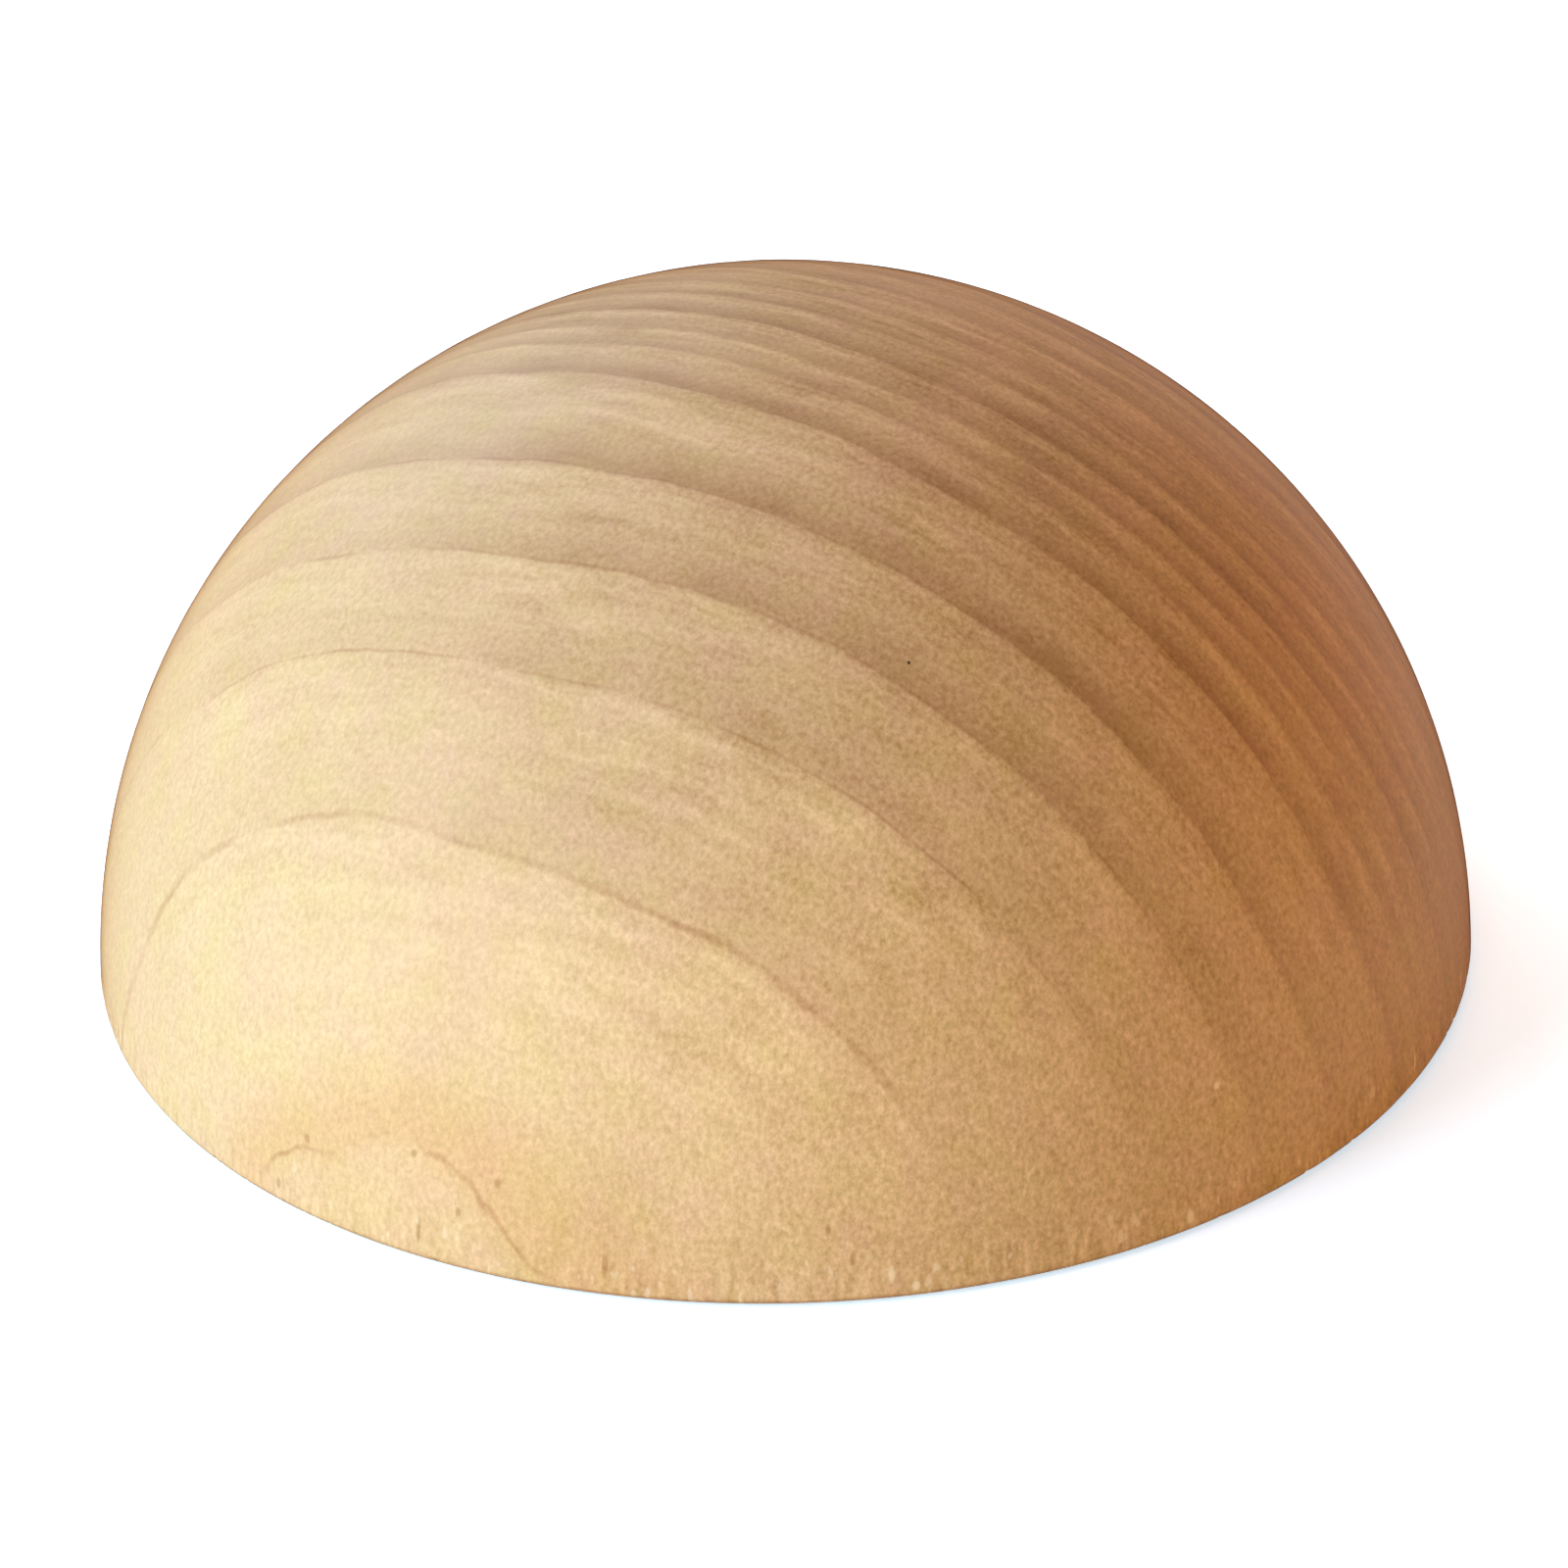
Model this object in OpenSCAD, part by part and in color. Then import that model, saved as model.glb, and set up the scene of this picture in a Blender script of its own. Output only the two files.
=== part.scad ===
// Half ball of solid wood: a turned ball sawn through beside its centre, with the sawn face
// sanded flat and the edge round it broken. The grain runs straight up from the sawn face.
// Millimetres, +Z up, origin at the centre of the sawn face.

/* [Ball] */
// Diameter of the turned ball
ball_d = 40; // [20:0.5:80]

/* [Sawn face] */
// Distance of the finished face from the ball's centre: half the saw's kerf and the sanding
face_loss = 0.2; // [0:0.05:1]
// Radius of the broken edge where the dome meets the sawn face
edge_r = 0.3; // [0.1:0.05:1.5]

/* [Hidden] */

// The section's straight cuts run this far past the wood that they take away
overrun = 1;
// Steps in a full turn of the drawn curves
curve_steps = 180;

ball_r = ball_d / 2;
// The ball's centre lies below the finished face, on the turning axis
ball_centre = [0, -face_loss];
// The broken edge is an arc that touches the sawn face and, from inside, the ball
edge_centre = [sqrt(pow(ball_r - edge_r, 2) - pow(edge_r + face_loss, 2)), edge_r];
// Direction from the ball's centre through the arc's centre, to the point where both touch
touch_dir = (edge_centre - ball_centre) / (ball_r - edge_r);

half_ball();

// The whole part, turned from its section
module half_ball() {
    color("burlywood")
        rotate_extrude($fn = curve_steps)
            half_section();
}

// Section from the turning axis out to the rim
module half_section() {
    difference() {
        sawn_ball_section();
        edge_waste();
    }
}

// What the saw leaves of the ball, with a sharp edge
module sawn_ball_section() {
    intersection() {
        translate(ball_centre) circle(r = ball_r, $fn = curve_steps);
        square(ball_d);
    }
}

// The sharp corner outside the edge's arc, which sanding takes away
module edge_waste() {
    past_touch = edge_centre + touch_dir * (edge_r + overrun);
    difference() {
        polygon([
            edge_centre,
            [edge_centre.x, -overrun],
            [past_touch.x, -overrun],
            past_touch
        ]);
        translate(edge_centre) circle(r = edge_r, $fn = curve_steps);
    }
}
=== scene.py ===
import math

import bmesh
import bpy
from mathutils import Matrix, Vector


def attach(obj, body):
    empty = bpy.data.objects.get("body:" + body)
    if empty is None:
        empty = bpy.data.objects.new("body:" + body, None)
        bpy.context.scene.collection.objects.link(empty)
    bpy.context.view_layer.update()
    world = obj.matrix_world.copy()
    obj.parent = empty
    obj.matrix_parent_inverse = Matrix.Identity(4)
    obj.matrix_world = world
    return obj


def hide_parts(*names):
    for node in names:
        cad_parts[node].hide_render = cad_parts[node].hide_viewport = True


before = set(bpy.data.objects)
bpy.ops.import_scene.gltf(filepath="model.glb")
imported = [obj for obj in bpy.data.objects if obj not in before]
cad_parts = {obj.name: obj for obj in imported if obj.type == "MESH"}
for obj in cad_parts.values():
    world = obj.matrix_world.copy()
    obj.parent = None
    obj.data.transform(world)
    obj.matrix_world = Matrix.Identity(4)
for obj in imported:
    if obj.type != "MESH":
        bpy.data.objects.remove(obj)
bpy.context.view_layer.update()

# Wooden half ball: one solid of pale hardwood, turned, sawn through and sanded.
# Metres, +Z up, origin at the centre of the sawn face. The grain and the wood's colour are in millimetres.


def addNode(tree, kind, feeds=None, **settings):
    made = tree.nodes.new(kind)
    for name, value in settings.items():
        setattr(made, name, value)
    for key, value in (feeds or {}).items():
        plug(tree, made.inputs[key], value)
    return made


def plug(tree, socket, value):
    # a socket gets a link, anything else is typed in
    if isinstance(value, bpy.types.NodeSocket):
        tree.links.new(value, socket)
    else:
        socket.default_value = value


def calc(tree, operation, *terms, clamp=False):
    made = addNode(tree, "ShaderNodeMath", operation=operation, use_clamp=clamp)
    for socket, term in zip(made.inputs, terms):
        plug(tree, socket, term)
    return made.outputs[0]


def product(tree, first, *others):
    for other in others:
        first = calc(tree, "MULTIPLY", first, other)
    return first


def vec(tree, operation, *terms):
    made = addNode(tree, "ShaderNodeVectorMath", operation=operation)
    for socket, term in zip(made.inputs, terms):
        plug(tree, socket, term)
    return made.outputs["Value" if operation in ("LENGTH", "DOT_PRODUCT", "DISTANCE") else "Vector"]


def scaled(tree, vector, factor):
    made = addNode(tree, "ShaderNodeVectorMath", {0: vector, "Scale": factor}, operation="SCALE")
    return made.outputs["Vector"]


def joinXyz(tree, x, y, z):
    return addNode(tree, "ShaderNodeCombineXYZ", {"X": x, "Y": y, "Z": z}).outputs[0]


def splitXyz(tree, vector):
    return addNode(tree, "ShaderNodeSeparateXYZ", {0: vector}).outputs


def between(tree, value, start, end, smooth=False):
    # start and end are pairs: a value, and what comes out at it
    made = addNode(tree, "ShaderNodeMapRange", {0: value, 1: start[0], 2: end[0], 3: start[1], 4: end[1]},
                   interpolation_type="SMOOTHSTEP" if smooth else "LINEAR")
    made.clamp = True
    return made.outputs[0]


def noise(tree, vector, scale, detail=2.0, roughness=0.5, stretch=None):
    if stretch is not None:
        vector = vec(tree, "MULTIPLY", vector, stretch)
    return addNode(tree, "ShaderNodeTexNoise", {"Vector": vector, "Scale": scale, "Detail": detail,
                                                "Roughness": roughness}).outputs[0]


cameraSetup = {
    "aim": (0.000068, 0.0, 0.00515),  # the point on which the view is centred
    "distance": 0.240,
    "elevation": 29.11,
    "roll": -1.411,
    "lens": 190.39,
    "sensor": 36.0,
    "nearest": 0.01,
    "farthest": 20.0,
}


def placeCamera(setup):
    tilt = math.radians(setup["elevation"])
    back = Vector((0.0, -math.cos(tilt), math.sin(tilt)))
    up = Vector((0.0, math.sin(tilt), math.cos(tilt)))
    turn = Matrix((up.cross(back), up, back)).transposed().to_4x4()
    place = Matrix.Translation(Vector(setup["aim"]) + back * setup["distance"])
    camera = bpy.data.objects.new("camera", bpy.data.cameras.new("camera"))
    camera.data.lens = setup["lens"]
    camera.data.sensor_width = setup["sensor"]
    camera.data.clip_start = setup["nearest"]
    camera.data.clip_end = setup["farthest"]
    camera.matrix_world = place @ turn @ Matrix.Rotation(math.radians(setup["roll"]), 4, "Z")
    bpy.context.scene.collection.objects.link(camera)
    bpy.context.scene.camera = camera


placeCamera(cameraSetup)
print("camera placed")


# the grain: how far a point lies from the pith, and how dark its growth ring is
grain = {
    "pith": (40.88, 73.18, 4.58),      # a point on the tree's centre line, mm
    "fibre": (0.031, -0.080, 0.996),   # the way the fibres run
    "wander": 0.12,                    # mm by which the rings wander slowly
    "ripple": 0.05,                    # mm by which they tremble
    "innermost": 63.0,                 # the rings' curve runs between these distances from the pith, mm
    "outermost": 104.0,
    "lineFull": 0.03,                  # half width of a ring's line where it is full, and where it ends, mm
    "lineEnd": 0.13,
}

# each ring from the inside out: outer edge (mm from the pith), width and depth of its dark wood,
# weight of the line at its edge
growthRings = [
    (64.5, 1.2, 0.8, 0), (66.6, 1.0, 0.6, 0), (69.1, 1.3, 0.9, 0), (71.0, 0.8, 0.6, 0), (72.6, 0.9, 0.8, 0),
    (74.7, 1.1, 0.9, 0), (76.3, 0.7, 0.7, 0), (78.2, 1.3, 0.6, 0), (80.05, 0.9, 0.6, 0),
    (81.35, 0.8, 0.75, 0), (82.75, 1.0, 0.95, 0.3), (84.0, 1.1, 0.6, 0), (85.15, 0.9, 0.65, 0),
    (86.75, 1.2, 0.95, 0.3), (89.95, 1.6, 0.8, 0.4), (92.7, 1.9, 0.6, 0.6), (95.65, 2.2, 0.4, 0.5),
    (99.4, 3.0, 0.35, 0.8), (103.3, 1.6, 0.3, 0.2),
]

# how a ring darkens towards its outer edge: share of its dark wood's width left to go, share of the depth
darkening = [(1.0, 0.0), (0.6, 0.32), (0.3, 0.72), (0.12, 1.0)]
darkEnds = 0.04    # mm inside the edge at which the dark wood is still full
darkGone = 0.14    # mm outside the edge at which it is gone

# swells that bend the rings, rounded from a separate script's fit and one of them then changed by hand:
# centre x, y, z, reach and shift of the rings, mm
bulges = [
    (-6.8, -7.9, 16.9, 6.0, 0.55), (15.6, -10.5, 6.5, 6.0, 0.41), (-9.4, 2.4, 17.3, 3.5, -0.61),
    (-12.4, -4.0, 15.0, 3.5, 0.32), (-4.6, -1.5, 19.2, 3.5, -0.30), (-7.0, -18.7, 0.5, 3.5, 0.33),
    (-14.6, -13.6, 1.2, 2.0, -0.26), (-5.3, -15.8, 10.9, 3.5, 0.22), (-15.9, -4.8, 11.0, 2.0, 0.26),
    (-18.1, -7.3, 4.0, 2.0, 0.25), (3.5, -19.0, 5.0, 6.0, -0.14), (1.7, -5.2, 19.1, 2.0, -0.16),
]

# the patterns in the wood: times in 1 mm, and stretch outward from the pith, sideways and along the fibres
patterns = {
    "wander": {"scale": 0.16, "detail": 1.0, "stretch": (0.6, 1, 0.5)},
    "tremor": {"scale": 0.9, "stretch": (0.5, 1, 0.45)},
    "lineBreaks": {"scale": 0.5, "stretch": (0.4, 1, 0.5)},
    "ringBreaks": {"scale": 0.35, "stretch": (0.8, 1, 0.6)},
    "blotches": {"scale": 0.30, "stretch": (1, 0.7, 0.5)},
    "warmth": {"scale": 0.8, "roughness": 0.6, "stretch": (1, 0.8, 0.7)},
    "hollows": {"scale": 0.28, "detail": 1.5},
    "tornFibres": {"scale": 3.2, "stretch": (1, 1, 0.16)},
    "pores": {"scale": 6.2, "roughness": 0.7, "stretch": (1, 1, 0.75)},
    "dashes": {"scale": 4.4, "detail": 1.0, "stretch": (1, 1, 0.14)},
    "streaks": {"scale": 2.4, "roughness": 0.6},
    "tornGlints": {"scale": 4.6, "detail": 0.0, "stretch": (1, 1, 0.45)},
}


def pattern(tree, vector, name):
    return noise(tree, vector, **patterns[name])


def evenPattern(tree, vector, name):
    # the same, about nought
    return calc(tree, "SUBTRACT", pattern(tree, vector, name), 0.5)


def grainAxes():
    # outward from the pith through the ball, sideways along the rings, and along the fibres
    along = Vector(grain["fibre"]).normalized()
    outward = -Vector(grain["pith"])
    outward = (outward - outward.dot(along) * along).normalized()
    return outward, along.cross(outward).normalized(), along


def inGrainFrame(place):
    fromPith = Vector(place) - Vector(grain["pith"])
    return tuple(fromPith.dot(axis) for axis in grainAxes())


def toGrain(tree, place):
    # place in mm, turned so that X leads away from the pith and Z runs along the fibres
    fromPith = vec(tree, "SUBTRACT", place, grain["pith"])
    return joinXyz(tree, *(vec(tree, "DOT_PRODUCT", fromPith, tuple(axis)) for axis in grainAxes()))


def ringShift(tree, place, inGrain):
    # how far the rings lie off true circles here, mm
    shift = calc(tree, "MULTIPLY", evenPattern(tree, inGrain, "wander"), 4 * grain["wander"])
    for x, y, z, size, swell in bulges:
        off = vec(tree, "DISTANCE", place, (x, y, z))
        near = calc(tree, "EXPONENT", product(tree, off, off, -1 / size ** 2))
        shift = calc(tree, "MULTIPLY_ADD", near, -swell, shift)
    return calc(tree, "MULTIPLY_ADD", evenPattern(tree, inGrain, "tremor"), 4 * grain["ripple"], shift)


def pithDistance(tree, inGrain, shift):
    return calc(tree, "ADD", vec(tree, "LENGTH", vec(tree, "MULTIPLY", inGrain, (1, 1, 0))), shift)


def darkWood(tree, reach):
    # one curve for all the rings: dark wood deepens towards each ring's outer edge, then stops short
    low, high = grain["innermost"], grain["outermost"]
    curve = addNode(tree, "ShaderNodeFloatCurve", {"Value": between(tree, reach, (low, 0.0), (high, 1.0))})
    steps = [(low, 0.0), (high, 0.0)]
    for edge, width, depth, _ in growthRings:
        steps += [(edge - left * width, share * depth) for left, share in darkening]
        steps += [(edge - darkEnds, depth), (edge + darkGone, 0.0)]
    points = curve.mapping.curves[0].points
    for _ in range(len(steps) - len(points)):
        points.new(0.5, 0.5)
    for point, (where, depth) in zip(points, sorted(steps)):
        point.location = ((where - low) / (high - low), depth)
        point.handle_type = "VECTOR"
    curve.mapping.update()
    return curve.outputs[0]


def edgeLines(tree, reach):
    # the thin dark lines at the outer edge of the rings that have one
    nearest = 9.0
    for edge, _, _, weight in growthRings:
        if weight:
            off = calc(tree, "ABSOLUTE", calc(tree, "SUBTRACT", reach, edge))
            nearest = calc(tree, "MINIMUM", nearest, calc(tree, "DIVIDE", off, weight))
    return between(tree, nearest, (grain["lineFull"], 1), (grain["lineEnd"], 0))


# the half ball's shape
ball = {
    "Radius": 0.020,        # of the turned ball
    "Face Loss": 0.0002,    # height of the sawn face above the ball's centre
    "Edge Radius": 0.0003,  # broken edge between dome and face
    "Dome Squares": 250,    # squares along one side of the dome's grid
    "Band Height": 0.0016,  # below this the dome has finer rows
    "Band Rows": 12,
    "Edge Rows": 4,
    "Face Rows": 12,
    "Inset": 0.000008,      # keeps the worked surface inside the turned size
    "Waves": 0.000014,      # depth of the hollows that sanding leaves
    "Ring Relief": 0.000006,
    "Torn Fibres": 0.00005, # depth of the torn fibres at the rim
    "Torn Height": 0.0013,
    "Blotch": 0.09,         # strength of the broad changes of tone
    "Seed": 7.0,
}
weldGap = 0.0000008         # points nearer than this become one, where the strips meet

# where the rings and the coarse grain show: pairs of a value and how strongly they show at it
showing = {
    "sideGrain": (0.10, 0.20),      # share of end grain
    "endGrain": (0.70, 1.0),
    "leftRings": (-12.0, 0.5),      # x, mm
    "middleRings": (-3.0, 1.0),
    "faintPatch": (0.3, 0.65),      # the patterns that break up the rings and their lines
    "clearPatch": (0.7, 1.3),
    "brokenLine": (0.36, 0.1),
    "wholeLine": (0.62, 1.0),
    "rightwards": -0.5,             # the lines weaken low down and to the right: share of x added to z
    "lowRight": (0.0, 0.15),        # that sum, mm
    "elsewhere": (5.0, 1.0),
    "smoothLeft": (-13.0, 0.6),     # x, mm, for the coarse grain
    "coarseRight": (12.0, 1.2),
    "patchFull": 0.2,               # pale streaks: share of their size at which they are full, and end
    "patchEnd": 1.4,
}

# what is torn at the rim: pairs as above, heights in metres
tearing = {
    "start": 0.3,                   # share of the torn height below which tearing is full
    "face": (0.00001, 0.0),
    "aboveFace": (0.0001, 1.0),
    "whole": (0.60, 0.0),           # of the fibres' pattern
    "tornFibresAndGlints": (0.72, 1.0),
}

# paler streaks: centre x, y, z, half width across the fibres and half length along them (mm), strength
palePatches = [
    (-9.88, -14.72, 9.06, 0.60, 2.20, 0.04), (-8.05, -16.78, 7.13, 0.50, 2.00, 0.05),
    (-11.08, -15.75, 5.20, 0.60, 1.20, 0.04), (-11.52, -16.29, 1.15, 0.45, 1.10, 0.05),
    (-12.02, -9.28, 12.82, 0.60, 1.80, 0.04),
]


def turnedPoint(tree, angle, reach, height):
    return joinXyz(tree, product(tree, reach, calc(tree, "COSINE", angle)),
                   product(tree, reach, calc(tree, "SINE", angle)), height)


def spunStrip(tree, around, rows, reachOf, heightOf):
    # a grid bent right round the axis; reachOf and heightOf take how far down the strip a row is, 0 to 1
    grid = addNode(tree, "GeometryNodeMeshGrid", {
        "Size X": 1.0, "Size Y": 1.0,
        "Vertices X": calc(tree, "ADD", around, 1), "Vertices Y": calc(tree, "ADD", rows, 1)})
    flat = splitXyz(tree, addNode(tree, "GeometryNodeInputPosition").outputs[0])
    down = calc(tree, "ADD", flat["Y"], 0.5)
    angle = calc(tree, "MULTIPLY", flat["X"], 2 * math.pi)
    bent = addNode(tree, "GeometryNodeSetPosition", {
        "Geometry": grid.outputs["Mesh"],
        "Position": turnedPoint(tree, angle, reachOf(down), heightOf(down))})
    return addNode(tree, "GeometryNodeFlipFaces", {"Mesh": bent.outputs[0]}).outputs[0]


def keep(tree, solid, name, value):
    return addNode(tree, "GeometryNodeStoreNamedAttribute", {"Geometry": solid, "Name": name, "Value": value},
                   data_type="FLOAT", domain="POINT").outputs[0]


def broadTone(tree, inGrain, shifted, strength):
    # slow light and dark, with the paler streaks
    tone = calc(tree, "MULTIPLY", evenPattern(tree, shifted, "blotches"), strength)
    for x, y, z, half, long, lift in palePatches:
        away = vec(tree, "SUBTRACT", inGrain, inGrainFrame((x, y, z)))
        off = vec(tree, "LENGTH", vec(tree, "MULTIPLY", away, (1 / half, 1 / half, 1 / long)))
        streak = between(tree, off, (showing["patchFull"], lift), (showing["patchEnd"], 0), smooth=True)
        tone = calc(tree, "ADD", tone, streak)
    return tone


def tornDepth(tree, shifted, height, given):
    # fibres torn out just above the face
    start = calc(tree, "MULTIPLY", given["Torn Height"], tearing["start"])
    below = between(tree, height, (start, 1), (given["Torn Height"], 0), smooth=True)
    above = between(tree, height, tearing["face"], tearing["aboveFace"])
    grainy = pattern(tree, shifted, "tornFibres")
    fibres = between(tree, grainy, tearing["whole"], tearing["tornFibresAndGlints"], smooth=True)
    return product(tree, fibres, product(tree, below, above), given["Torn Fibres"])


def roughen(tree, solid, given):
    # the slow changes in the wood are kept on the points for its colour, then the surface is worked inwards
    normal = addNode(tree, "GeometryNodeInputNormal").outputs[0]
    position = addNode(tree, "GeometryNodeInputPosition").outputs[0]
    place = scaled(tree, position, 1000.0)
    x, y, z = splitXyz(tree, place)
    inGrain = toGrain(tree, place)
    shifted = vec(tree, "ADD", inGrain, joinXyz(tree, given["Seed"], given["Seed"], 0.0))
    reach = pithDistance(tree, inGrain, ringShift(tree, place, inGrain))

    # rings show most where the fibres are cut across, come and go, and fade towards the left
    ends = calc(tree, "ABSOLUTE", vec(tree, "DOT_PRODUCT", normal, tuple(grainAxes()[2])))
    clear = product(
        tree, between(tree, ends, showing["sideGrain"], showing["endGrain"], smooth=True),
        between(tree, x, showing["leftRings"], showing["middleRings"], smooth=True),
        between(tree, pattern(tree, inGrain, "ringBreaks"), showing["faintPatch"], showing["clearPatch"]))
    leaning = calc(tree, "ADD", z, calc(tree, "MULTIPLY", x, showing["rightwards"]))
    breaks = pattern(tree, inGrain, "lineBreaks")
    lines = product(tree, between(tree, breaks, showing["brokenLine"], showing["wholeLine"]),
                    between(tree, leaning, showing["lowRight"], showing["elsewhere"]))

    # the wood is smoother towards the left
    coarse = between(tree, x, showing["smoothLeft"], showing["coarseRight"], smooth=True)
    changes = {
        "endGrain": ends, "coarse": coarse, "pithDistance": reach, "ringClear": clear, "lineClear": lines,
        "tone": broadTone(tree, inGrain, shifted, given["Blotch"]),
        "warmth": evenPattern(tree, shifted, "warmth"),
    }
    for name, value in changes.items():
        solid = keep(tree, solid, name, value)

    waves = calc(tree, "MULTIPLY", pattern(tree, shifted, "hollows"), given["Waves"])
    rings = calc(tree, "MULTIPLY", darkWood(tree, reach), given["Ring Relief"])
    tornFibresAndGlints = tornDepth(tree, shifted, splitXyz(tree, position)["Z"], given)
    depth = calc(tree, "ADD", calc(tree, "ADD", waves, rings), calc(tree, "ADD", tornFibresAndGlints, given["Inset"]))
    inwards = scaled(tree, normal, calc(tree, "MULTIPLY", depth, -1))
    return addNode(tree, "GeometryNodeSetPosition", {"Geometry": solid, "Offset": inwards}).outputs[0]


def buildBallTree(sizes, material):
    tree = bpy.data.node_groups.new("halfBallForm", "GeometryNodeTree")
    tree.is_modifier = True
    for name, value in sizes.items():
        kind = "NodeSocketInt" if isinstance(value, int) else "NodeSocketFloat"
        tree.interface.new_socket(name=name, in_out="INPUT", socket_type=kind).default_value = value
    tree.interface.new_socket(name="Geometry", in_out="OUTPUT", socket_type="NodeSocketGeometry")
    given = addNode(tree, "NodeGroupInput").outputs
    radius, loss, edge = given["Radius"], given["Face Loss"], given["Edge Radius"]

    # the edge's arc touches the ball from inside and the face
    inner = calc(tree, "SUBTRACT", radius, edge)
    rise = calc(tree, "ADD", edge, loss)
    squares = calc(tree, "SUBTRACT", product(tree, inner, inner), product(tree, rise, rise))
    edgeReach = calc(tree, "SQRT", squares)
    touchTilt = calc(tree, "ARCCOSINE", calc(tree, "DIVIDE", rise, inner))
    bandRise = calc(tree, "ADD", given["Band Height"], loss)
    bandTilt = calc(tree, "ARCCOSINE", calc(tree, "DIVIDE", bandRise, radius))

    # dome: a square grid drawn out to a disc, then laid over the ball, so that it has no pole
    side = calc(tree, "ADD", given["Dome Squares"], 1)
    grid = addNode(tree, "GeometryNodeMeshGrid", {
        "Size X": 2.0, "Size Y": 2.0, "Vertices X": side, "Vertices Y": side})
    a, b, _ = splitXyz(tree, addNode(tree, "GeometryNodeInputPosition").outputs[0])
    wide = calc(tree, "GREATER_THAN", calc(tree, "ABSOLUTE", a), calc(tree, "ABSOLUTE", b))

    def choose(whenTall, whenWide):
        return addNode(tree, "GeometryNodeSwitch", {"Switch": wide, "False": whenTall, "True": whenWide},
                       input_type="FLOAT").outputs[0]

    tilt = calc(tree, "MULTIPLY", choose(b, a), bandTilt)
    quarter = math.pi / 4
    tallTurn = calc(tree, "MULTIPLY", quarter, calc(tree, "DIVIDE", a, b))
    wideTurn = calc(tree, "MULTIPLY", quarter, calc(tree, "DIVIDE", b, a))
    angle = choose(calc(tree, "SUBTRACT", 2 * quarter, tallTurn), wideTurn)

    def onBallReach(t):
        return calc(tree, "MULTIPLY", radius, calc(tree, "SINE", t))

    def onBallHeight(t):
        return calc(tree, "SUBTRACT", calc(tree, "MULTIPLY", radius, calc(tree, "COSINE", t)), loss)

    def partWay(t, start, end):
        return calc(tree, "ADD", start, calc(tree, "MULTIPLY", t, calc(tree, "SUBTRACT", end, start)))

    def bandAt(t):
        return partWay(t, bandTilt, touchTilt)

    def edgeAt(t):
        return partWay(t, touchTilt, math.pi)

    def onEdge(t, centre, turn):
        return calc(tree, "ADD", centre, calc(tree, "MULTIPLY", edge, calc(tree, turn, edgeAt(t))))

    def acrossFace(t):
        # rows lie closer together towards the edge
        return calc(tree, "MULTIPLY", edgeReach, calc(tree, "SUBTRACT", 1.0, calc(tree, "POWER", t, 0.7)))

    dome = addNode(tree, "GeometryNodeSetPosition", {
        "Geometry": grid.outputs["Mesh"],
        "Position": turnedPoint(tree, angle, onBallReach(tilt), onBallHeight(tilt))}).outputs[0]

    # band, edge and face: strips that run round the axis, one column to each square of the dome's border
    around = calc(tree, "MULTIPLY", given["Dome Squares"], 4)
    band = spunStrip(tree, around, given["Band Rows"],
                     lambda t: onBallReach(bandAt(t)), lambda t: onBallHeight(bandAt(t)))
    arc = spunStrip(tree, around, given["Edge Rows"],
                    lambda t: onEdge(t, edgeReach, "SINE"), lambda t: onEdge(t, edge, "COSINE"))
    face = spunStrip(tree, around, given["Face Rows"], acrossFace, lambda t: 0.0)

    joined = addNode(tree, "GeometryNodeJoinGeometry")
    for part in (face, arc, band, dome):
        tree.links.new(part, joined.inputs[0])
    closed = addNode(tree, "GeometryNodeMergeByDistance", {
        "Geometry": joined.outputs[0], "Distance": weldGap})
    worked = roughen(tree, closed.outputs[0], given)
    smooth = addNode(tree, "GeometryNodeSetShadeSmooth", {"Geometry": worked, "Shade Smooth": True})
    real = addNode(tree, "GeometryNodeRealizeInstances", {"Geometry": smooth.outputs[0]})
    painted = addNode(tree, "GeometryNodeSetMaterial", {"Geometry": real.outputs[0], "Material": material})
    tree.links.new(painted.outputs[0], addNode(tree, "NodeGroupOutput").inputs[0])
    return tree


def makeBall(sizes, material):
    holder = bpy.data.objects.new("turnedHalfBall", bpy.data.meshes.new("seedMesh"))
    bpy.context.scene.collection.objects.link(holder)
    former = holder.modifiers.new("form", "NODES")
    former.node_group = buildBallTree(sizes, material)
    inputs = [item for item in former.node_group.interface.items_tree if item.in_out == "INPUT"]
    for item in inputs:
        former[item.identifier] = sizes[item.name]
    bpy.context.view_layer.update()
    shaped = holder.evaluated_get(bpy.context.evaluated_depsgraph_get())
    solid = bpy.data.meshes.new_from_object(shaped)
    holder.modifiers.remove(former)
    holder.data = solid
    solid.materials.pop(index=0)  # the grids bring an empty slot
    work = bmesh.new()
    work.from_mesh(solid)
    openEdges = sum(1 for edge in work.edges if len(edge.link_faces) != 2)
    volume = round(work.calc_volume(signed=True) * 1e9, 1)
    work.free()
    print("half ball built:", len(solid.vertices), "points,", openEdges, "open edges,", volume, "mm3")
    return holder


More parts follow.
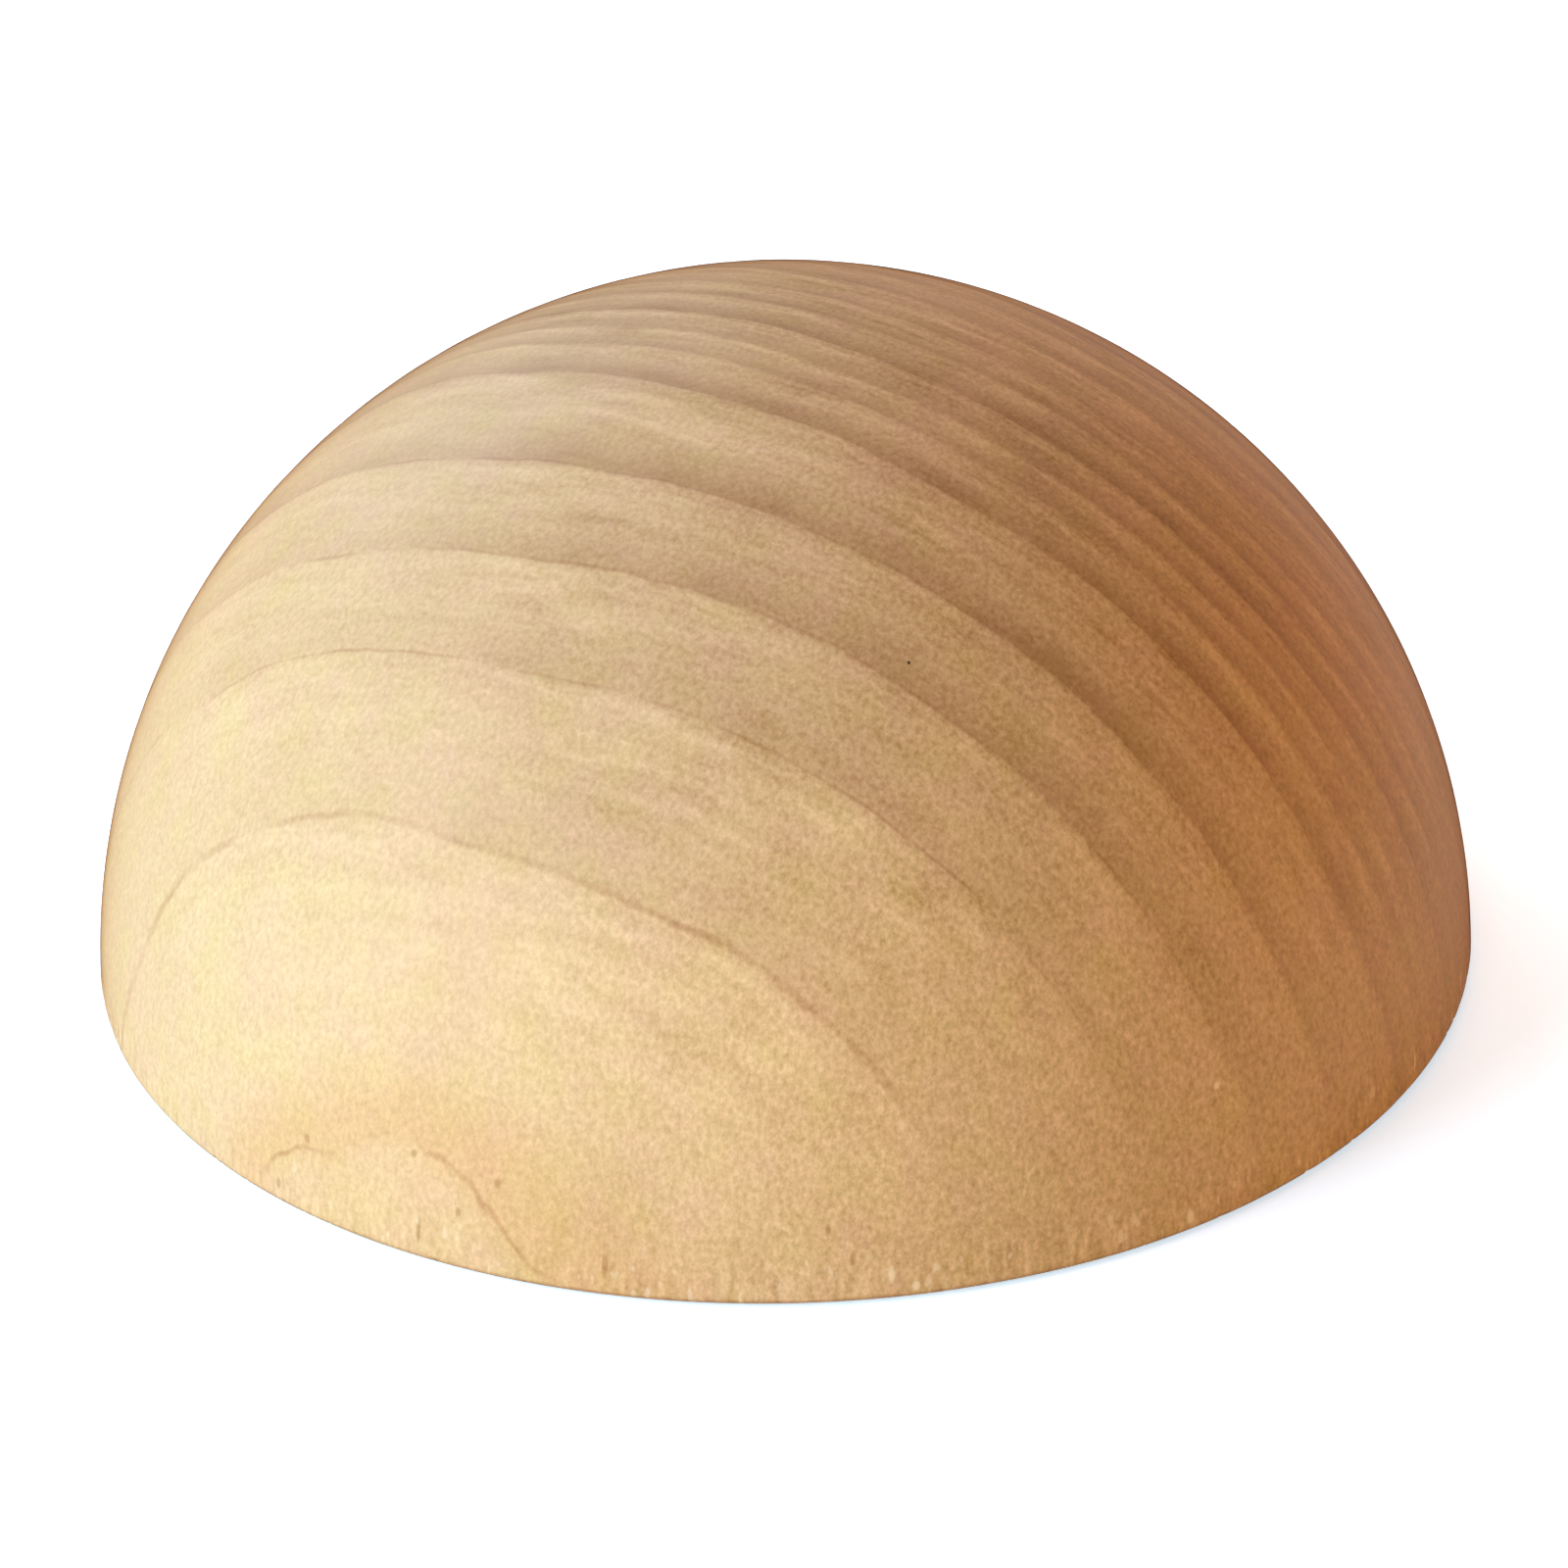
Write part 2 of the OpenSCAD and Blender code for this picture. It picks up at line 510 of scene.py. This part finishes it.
# the wood's finish: each tint multiplies the colour; pairs are a value and what comes out at it
woodFinish = {
    "outerWood": (0.78, 0.533, 0.257),  # towards the bark
    "innerWood": (0.51, 0.358, 0.178),  # towards the pith
    "outerReach": 103.0,                # mm from the pith
    "innerReach": 82.0,
    "darkTint": (0.62, 0.52, 0.43),     # on the rings' dark wood
    "lineTint": (0.83, 0.74, 0.69),
    "endTint": (0.90, 0.90, 0.93),      # on end grain
    "endStart": (0.5, 0.0),             # share of end grain
    "endFull": (1.0, 1.0),
    "lastRingTint": (0.96, 0.885, 0.785),  # towards the outermost ring's edge, past which the wood is paler
    "lastRingStart": (102.4, 0.0),      # mm from the pith
    "lastRingFull": (103.2, 1.0),
    "lastRingEdge": (103.27, 1.0),
    "lastRingPast": (103.42, 0.35),
    "edgeShadeAndBurnishTint": (0.70, 0.58, 0.48),     # on the broken edge: painted shade where it faces down, and some burnish brown
    "edgeFull": (0.10, 1.0),            # heights, mm
    "edgeTop": (0.26, 0.0),
    "face": (0.012, 0.0),
    "aboveFace": (0.03, 1.0),
    "fleckTint": (0.74, 0.66, 0.56),
    "poreTint": (0.02, 0.015, 0.01),
    "fleckAndTornGlintColour": (1.0, 0.84, 0.55),      # colour of the painted glints on torn pores, which catch the light, and of the pale flecks
    "tornGlintStart": (0.70, 0.0),           # of their pattern
    "tornGlintFull": (0.80, 1.0),
    "tornGlints": 0.50,                  # their strength at the rim
    "tornGlintLow": 0.8,                     # full below this height and gone above the next, mm
    "tornGlintHigh": 2.2,
    "paleFlecks": 0.8,                  # strength of the single pale marks
    "mottle": 0.52,                     # strength of the fine pores' mottle
    "dashes": 0.30,                     # strength of the upright pores near the rim
    "dashesLow": (0.3, 1.0),            # heights, mm
    "dashesHigh": (2.6, 0.0),
    "streaks": 0.34,                    # strength of the streaks that follow the rings
    "streakMiddle": 0.52,
    "streakSideways": 0.13,             # how much of the way sideways and along the fibres a streak takes
    "streakAlong": 0.16,
    "streaksInner": (83.0, 1.6),        # mm from the pith
    "streaksOuter": (90.0, 1.0),
    "darkBroken": (0.36, 0.6),          # how the streaks break up the dark wood
    "darkWhole": (0.62, 1.25),
    "warmth": 0.34,                     # strength of the slow change between pink and yellow
    "shadeShift": (0.84, 1.08, 1.48),   # what light and dark do to red, green and blue
    "hueShift": (0.18, -0.28, 1.0),     # what the warmth does to them
    "roughness": 0.58,
    "roughnessSpread": 0.3,             # how far the pores change it
    "specular": 0.25,
    "bump": 0.000009,                   # height in metres
    "skinTint": (0.965, 0.945, 0.925),  # a clear skin that deepens the colour where it is seen at a slant
}

# small marks: centre x, y, z, half width across the fibres and half length along them, mm
darkFlecks = [
    (-13.32, -14.67, 2.51, 0.12, 0.16), (-14.22, -14.04, 0.71, 0.09, 0.22),
    (-10.28, -16.80, 3.26, 0.10, 0.16), (-7.97, -18.06, 3.00, 0.10, 0.18),
    (-9.12, -17.68, 1.88, 0.10, 0.16), (-10.24, -17.14, 1.07, 0.08, 0.60),
    (5.88, -19.08, 0.97, 0.10, 0.50), (-5.12, -19.29, 1.11, 0.10, 0.55),
    (1.61, -19.87, 1.47, 0.09, 0.30), (0.96, -19.81, 2.36, 0.08, 0.22),
]
paleFlecks = [
    (11.71, -15.64, 4.08, 0.12, 0.12), (2.66, -19.79, 0.89, 0.10, 0.30), (3.32, -19.71, 0.44, 0.12, 0.16),
    (10.94, -16.73, 0.55, 0.14, 0.26),
]
blackPore = [(3.53, -11.92, 15.47, 0.055, 0.10)]
fleckFull = (0.55, 1.0)  # share of a mark's size, and how strong it is there
fleckEnd = (1.15, 0.0)


def mixed(tree, amount, first, second, kind="MIX"):
    # a colour is a socket, or red, green and blue
    made = addNode(tree, "ShaderNodeMix", {"Factor": amount}, data_type="RGBA", blend_type=kind)
    for index, colour in ((6, first), (7, second)):
        plug(tree, made.inputs[index], (*colour, 1) if isinstance(colour, tuple) else colour)
    return made.outputs[2]


def tinted(tree, colour, amount, tint):
    # multiplies the colour by the tint, as far as amount goes
    return mixed(tree, amount, colour, tint, kind="MULTIPLY")


def flecks(tree, inGrain, spots):
    nearest = 9.0
    for x, y, z, half, long in spots:
        shrink = (1 / half, 1 / half, 1 / long)
        centre = tuple(-c * k for c, k in zip(inGrainFrame((x, y, z)), shrink))
        off = vec(tree, "LENGTH", vec(tree, "MULTIPLY_ADD", inGrain, shrink, centre))
        nearest = calc(tree, "MINIMUM", nearest, off)
    return between(tree, nearest, fleckFull, fleckEnd)


def kept(tree, name):
    return addNode(tree, "ShaderNodeAttribute", attribute_name=name).outputs["Fac"]


def varied(tree, shade, values, middle, amount, strength):
    # adds a pattern's rise and fall about its middle to the shade
    swing = calc(tree, "MULTIPLY", calc(tree, "SUBTRACT", values, middle), amount)
    return calc(tree, "MULTIPLY_ADD", swing, 2 * strength, shade)


def ringColour(tree, finish, reach, clear, streaks):
    # the wood from pith to bark, with its rings and the lines at their edges
    outwards = between(tree, reach, (finish["innerReach"], 0.0), (finish["outerReach"], 1.0))
    colour = mixed(tree, outwards, finish["innerWood"], finish["outerWood"])
    ends = between(tree, kept(tree, "endGrain"), finish["endStart"], finish["endFull"], smooth=True)
    colour = tinted(tree, colour, ends, finish["endTint"])
    uneven = product(tree, clear, between(tree, streaks, finish["darkBroken"], finish["darkWhole"]))
    colour = tinted(tree, colour, product(tree, darkWood(tree, reach), uneven), finish["darkTint"])
    lines = product(tree, edgeLines(tree, reach), kept(tree, "lineClear"))
    colour = tinted(tree, colour, lines, finish["lineTint"])
    lastRing = product(
        tree, between(tree, reach, finish["lastRingStart"], finish["lastRingFull"], smooth=True),
        between(tree, reach, finish["lastRingEdge"], finish["lastRingPast"]))
    return tinted(tree, colour, lastRing, finish["lastRingTint"])


def shadeFactors(tree, finish, shade):
    # light and dark change blue most; warmth trades yellow for pink
    hue = calc(tree, "MULTIPLY", kept(tree, "warmth"), finish["warmth"])
    channels = {}
    for channel, perShade, perHue in zip(("Red", "Green", "Blue"), finish["shadeShift"], finish["hueShift"]):
        channels[channel] = calc(tree, "ADD", calc(tree, "MULTIPLY_ADD", shade, perShade, 1.0),
                                 calc(tree, "MULTIPLY", hue, perHue))
    return addNode(tree, "ShaderNodeCombineColor", channels).outputs[0]


def markedColour(tree, finish, colour, inGrain, height, coarse):
    # the edge, darkened with painted shade and some burnish, the single marks, and painted glints on the torn
    # pores near the rim
    edge = product(tree, between(tree, height, finish["edgeFull"], finish["edgeTop"]),
                   between(tree, height, finish["face"], finish["aboveFace"]))
    colour = tinted(tree, colour, edge, finish["edgeShadeAndBurnishTint"])
    colour = tinted(tree, colour, flecks(tree, inGrain, darkFlecks), finish["fleckTint"])
    colour = tinted(tree, colour, flecks(tree, inGrain, blackPore), finish["poreTint"])
    # painted highlight: pale specks near the rim where torn fibres catch the light
    pores = between(tree, pattern(tree, inGrain, "tornGlints"), finish["tornGlintStart"], finish["tornGlintFull"])
    nearRim = between(tree, height, (finish["tornGlintLow"], finish["tornGlints"]), (finish["tornGlintHigh"], 0),
                      smooth=True)
    tornFibresAndGlints = product(tree, pores, coarse, nearRim)
    pale = calc(tree, "MULTIPLY", flecks(tree, inGrain, paleFlecks), finish["paleFlecks"])
    return mixed(tree, calc(tree, "MAXIMUM", pale, tornFibresAndGlints), colour, finish["fleckAndTornGlintColour"])


def makeWood(finish):
    wood = bpy.data.materials.new("sandedWood")
    wood.use_nodes = True
    tree = wood.node_tree
    tree.nodes.clear()
    place = scaled(tree, addNode(tree, "ShaderNodeTexCoord").outputs["Object"], 1000.0)
    height = splitXyz(tree, place)["Z"]
    inGrain = toGrain(tree, place)
    reach, clear, coarse = (kept(tree, name) for name in ("pithDistance", "ringClear", "coarse"))

    # fine mottle of the pores, upright dashes near the rim, and streaks along the rings
    fine = pattern(tree, inGrain, "pores")
    dashes = pattern(tree, inGrain, "dashes")
    _, sideways, along = splitXyz(tree, inGrain)
    onRing = joinXyz(tree, reach, product(tree, sideways, finish["streakSideways"]),
                     product(tree, along, finish["streakAlong"]))
    streaks = pattern(tree, onRing, "streaks")

    low = between(tree, height, finish["dashesLow"], finish["dashesHigh"], smooth=True)
    inner = between(tree, reach, finish["streaksInner"], finish["streaksOuter"])
    shade = varied(tree, kept(tree, "tone"), fine, 0.5, coarse, finish["mottle"])
    shade = varied(tree, shade, dashes, 0.5, product(tree, low, coarse), finish["dashes"])
    shade = varied(tree, shade, streaks, finish["streakMiddle"], product(tree, clear, inner),
                   finish["streaks"])
    colour = ringColour(tree, finish, reach, clear, streaks)
    colour = tinted(tree, colour, 1.0, shadeFactors(tree, finish, shade))
    colour = markedColour(tree, finish, colour, inGrain, height, coarse)

    lift = calc(tree, "MULTIPLY_ADD", dashes, low, fine)
    bump = addNode(tree, "ShaderNodeBump", {"Strength": 1.0, "Distance": finish["bump"], "Height": lift})
    gloss = calc(tree, "MULTIPLY_ADD", calc(tree, "SUBTRACT", fine, 0.5), finish["roughnessSpread"],
                 finish["roughness"])
    skin = addNode(tree, "ShaderNodeBsdfPrincipled", {
        "Base Color": colour, "Roughness": gloss, "Normal": bump.outputs[0],
        "Specular IOR Level": finish["specular"],
        "Coat Weight": 1.0, "Coat IOR": 1.0, "Coat Tint": (*finish["skinTint"], 1)})
    tree.links.new(skin.outputs[0], addNode(tree, "ShaderNodeOutputMaterial").inputs["Surface"])
    return wood


halfBall = makeBall(ball, makeWood(woodFinish))
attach(halfBall, "root")
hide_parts("half_ball")
print("half ball in place")


# floor and light
room = {
    "floorReach": 3.0,                     # from the middle to each side, m
    "floorDrop": 0.00002,                  # below the sawn face
    "floorColour": (0.8, 0.8, 0.8, 1),
    "floorGlow": (0.51, 0.655, 0.745, 1),  # offsets the warm lamps, so that the shadow is grey
    "airColour": (1, 0.62, 0.15, 1),
    "airStrength": 0.006,
}


def seenDirectly(tree):
    # 1 for what the camera sees straight, mirrored or through glass, 0 where diffuse light is gathered
    ray = addNode(tree, "ShaderNodeLightPath").outputs
    notStraight = calc(tree, "ADD", ray["Is Glossy Ray"], ray["Is Transmission Ray"])
    return calc(tree, "ADD", ray["Is Camera Ray"], notStraight, clamp=True)


def makeFloor(setup):
    reach, drop = setup["floorReach"], setup["floorDrop"]
    corners = [(x * reach, y * reach, -drop) for x, y in ((-1, -1), (1, -1), (1, 1), (-1, 1))]
    mesh = bpy.data.meshes.new("floor")
    mesh.from_pydata(corners, [], [(0, 1, 2, 3)])
    floor = bpy.data.objects.new("floor", mesh)
    bpy.context.scene.collection.objects.link(floor)
    paper = bpy.data.materials.new("paperFloor")
    paper.use_nodes = True
    tree = paper.node_tree
    tree.nodes.clear()
    matt = addNode(tree, "ShaderNodeBsdfDiffuse", {"Color": setup["floorColour"]})
    glow = addNode(tree, "ShaderNodeEmission", {"Color": setup["floorGlow"], "Strength": seenDirectly(tree)})
    both = addNode(tree, "ShaderNodeAddShader", {0: matt.outputs[0], 1: glow.outputs[0]})
    tree.links.new(both.outputs[0], addNode(tree, "ShaderNodeOutputMaterial").inputs["Surface"])
    mesh.materials.append(paper)


def lightAir(setup):
    # white where it is seen or mirrored, and a little plain light everywhere else
    world = bpy.data.worlds.new("studio")
    bpy.context.scene.world = world
    world.use_nodes = True
    tree = world.node_tree
    tree.nodes.clear()
    plain = addNode(tree, "ShaderNodeBackground", {
        "Color": setup["airColour"], "Strength": setup["airStrength"]})
    white = addNode(tree, "ShaderNodeBackground", {"Color": (1, 1, 1, 1), "Strength": 1.0})
    both = addNode(tree, "ShaderNodeMixShader", {
        0: seenDirectly(tree), 1: plain.outputs[0], 2: white.outputs[0]})
    tree.links.new(both.outputs[0], addNode(tree, "ShaderNodeOutputWorld").inputs["Surface"])


# name, azimuth, elevation, distance, size, watts, colour
# azimuth 0 is in front of the half ball, 90 to its right
lamps = [
    ("leftKey", -66, 24, 0.50, 0.42, 4.60, (0.535, 0.735, 1.0)),
    ("frontFill", 26, 4, 0.50, 0.30, 1.16, (1.0, 0.60, 0.06)),
    ("leftBack", -150, 30, 0.50, 0.30, 1.80, (0.54, 0.765, 0.98)),
    ("backFill", 180, 45, 0.50, 0.30, 0.81, (1.0, 0.63, 0.35)),
    ("top", 0, 88, 0.50, 0.30, 0.62, (1.0, 0.46, 0.20)),
    ("rightGlow", 112, 6, 0.50, 0.30, 0.75, (1.0, 0.14, 0.02)),
]


def addLamp(name, azimuth, elevation, distance, size, power, colour):
    lamp = bpy.data.lights.new(name, "AREA")
    lamp.shape = "DISK"
    lamp.size = size
    lamp.energy = power
    lamp.color = colour
    holder = bpy.data.objects.new(name, lamp)
    a, e = math.radians(azimuth), math.radians(elevation)
    toward = Vector((math.sin(a) * math.cos(e), -math.cos(a) * math.cos(e), math.sin(e)))
    facing = toward.to_track_quat("Z", "Y").to_matrix().to_4x4()
    holder.matrix_world = Matrix.Translation(toward * distance) @ facing
    bpy.context.scene.collection.objects.link(holder)


makeFloor(room)
print("floor laid")
for lamp in lamps:
    addLamp(*lamp)
lightAir(room)
print("lamps and air lit:", len(lamps), "lamps")

bpy.context.scene.view_settings.view_transform = "Standard"
